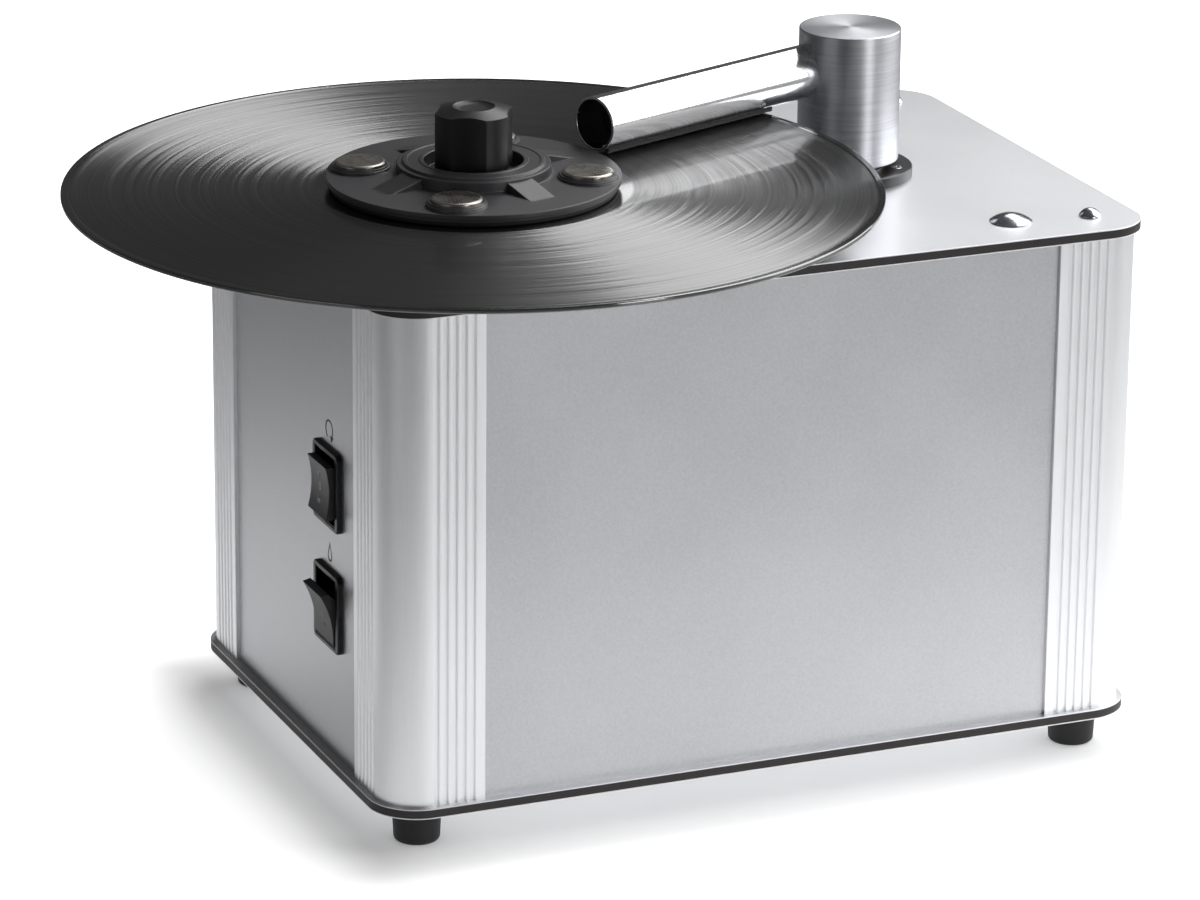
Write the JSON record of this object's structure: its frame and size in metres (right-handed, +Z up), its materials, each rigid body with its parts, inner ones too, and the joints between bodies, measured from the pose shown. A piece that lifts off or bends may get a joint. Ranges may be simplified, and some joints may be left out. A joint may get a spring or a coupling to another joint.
{
  "type": "record cleaning machine",
  "caption": "Bench-top machine that washes and vacuum-dries records: silver cabinet with a geared platter, a screw-down clamp and a suction arm on a lifting, swinging column.",
  "frame": {"origin": "centre of the cabinet's footprint, on the surface that the four feet stand on", "axes": "+X along the cabinet's long side, away from the end with the switches; +Y towards the back, where the mains inlet and the drain are; +Z up"},
  "size_m": [0.4121, 0.3479, 0.274],
  "materials": {
    "silver_anodised": "satin anodised, extruded",
    "silver_panel": "fine bead-blasted and anodised",
    "deck_skin": "satin anodised sheet",
    "dark_core": "matt, cut edge",
    "black_rubber": "matt",
    "zinc": "zinc plated",
    "gloss_black": "gloss",
    "rocker_grey": "half gloss",
    "vinyl": "gloss, finely grooved",
    "clamp_black": "satin, moulded",
    "knob_black": "satin",
    "nickel": "brushed nickel",
    "chrome": "polished",
    "turned_aluminium": "fine turned",
    "flange_black": "satin black",
    "velvet": "short pile",
    "brass": "turned",
    "bronze": "sintered bushing",
    "steel": "ground",
    "gear_white": "moulded nylon",
    "pressed_steel": "pressed sheet, zinc plated",
    "motor_can": "satin",
    "fan_plastic": "moulded",
    "hose_grey": "matt",
    "tank_white": "half clear",
    "green_board": "lacquered",
    "wire_black": "sheathed",
    "socket_black": "matt moulded"
  },
  "bodies": {
    "cabinet": {"base_plate_core": "dark_core", "base_plate_skins": "deck_skin", "top_plate_core": "dark_core", "top_plate_skins": "deck_skin", "corner_profile_front_left": "silver_anodised", "corner_profile_front_right": "silver_anodised", "corner_profile_back_left": "silver_anodised", "corner_profile_back_right": "silver_anodised", "front_panel": "silver_panel", "back_panel": "silver_panel", "left_panel": "silver_panel", "right_panel": "silver_panel", "rubber_feet": "black_rubber", "foot_screws": "zinc", "corner_dome_screws": "zinc", "bracket_dome_bolt": "zinc", "motor_switch_housing": "gloss_black", "vacuum_switch_housing": "gloss_black", "spindle_bushes": "bronze", "drive_plate": "pressed_steel", "drive_pillars": "steel", "drive_screws": "zinc", "drive_motor": "motor_can", "column_flange": "flange_black", "flange_screws": "zinc", "guide_sleeve": "turned_aluminium", "motor_mount_ring": "black_rubber", "vacuum_motor": "motor_can", "fan_housing": "fan_plastic", "vacuum_hose": "hose_grey", "exhaust_grille": "socket_black", "waste_tank": "tank_white", "tank_lid": "tank_white", "drain_valve": "brass", "mains_inlet": "socket_black", "inlet_prongs": "brass", "board_bracket": "pressed_steel", "power_board": "green_board", "wiring_loom": "wire_black"},
    "platter": {"spindle": "steel", "drive_gear": "gear_white", "platter": "turned_aluminium", "platter_mat": "black_rubber", "record": "vinyl"},
    "drive_pinion": {"motor_pinion": "steel"},
    "clamp": {"clamp_disc": "clamp_black", "clamp_seal": "black_rubber", "clamp_bush": "brass", "clamp_weights": "nickel"},
    "clamp_knob": {"clamp_knob": "knob_black"},
    "lift_carriage": {"lift_pipe": "steel"},
    "suction_arm": {"arm_column": "turned_aluminium", "column_bushes": "bronze", "arm_tube": "chrome", "tube_end_plug": "socket_black", "velvet_strips": "velvet"},
    "motor_rocker": {"motor_rocker": "rocker_grey"},
    "vacuum_rocker": {"vacuum_rocker": "rocker_grey"},
    "fan_rotor": {"impeller": "fan_plastic"},
    "drain_lever": {"drain_lever": "zinc"}
  },
  "joints": [
    {"name": "platter_spin", "type": "hinge", "parent": "cabinet", "child": "platter", "pos_m": [-0.105, -0.0627, 0.2407], "axis": [0, 0, 1], "continuous": true},
    {"name": "motor_spin", "type": "hinge", "parent": "cabinet", "child": "drive_pinion", "pos_m": [-0.07672, -0.03442, 0.18], "axis": [0, 0, 1], "continuous": true},
    {"name": "clamp_lift", "type": "slide", "parent": "platter", "child": "clamp", "axis": [0, 0, 1], "range_m": [0, 0.03]},
    {"name": "knob_turn", "type": "hinge", "parent": "clamp", "child": "clamp_knob", "pos_m": [-0.105, -0.0627, 0.26], "axis": [0, 0, 1], "continuous": true},
    {"name": "arm_lift", "type": "slide", "parent": "cabinet", "child": "lift_carriage", "axis": [0, 0, 1], "range_m": [0, 0.02]},
    {"name": "arm_swing", "type": "hinge", "parent": "lift_carriage", "child": "suction_arm", "pos_m": [0.0755, -0.001, 0.2555], "axis": [0, 0, 1], "range_deg": [-100, 100]},
    {"name": "motor_rocker_tilt", "type": "hinge", "parent": "cabinet", "child": "motor_rocker", "pos_m": [-0.149, -0.037, 0.1251], "axis": [0, 1, 0], "range_deg": [-14, 14]},
    {"name": "vacuum_rocker_tilt", "type": "hinge", "parent": "cabinet", "child": "vacuum_rocker", "pos_m": [-0.149, -0.037, 0.077], "axis": [0, 1, 0], "range_deg": [0, 28]},
    {"name": "fan_spin", "type": "hinge", "parent": "cabinet", "child": "fan_rotor", "pos_m": [-0.078, 0.042, 0.095], "axis": [0, 0, 1], "continuous": true},
    {"name": "drain_lever_turn", "type": "hinge", "parent": "cabinet", "child": "drain_lever", "pos_m": [0.04, 0.1094, 0.0453], "axis": [0, 0, 1], "range_deg": [0, 90]}
  ],
  "couplings": [
    {"joint": "motor_spin", "follows": "platter_spin", "ratio": -3}
  ]
}
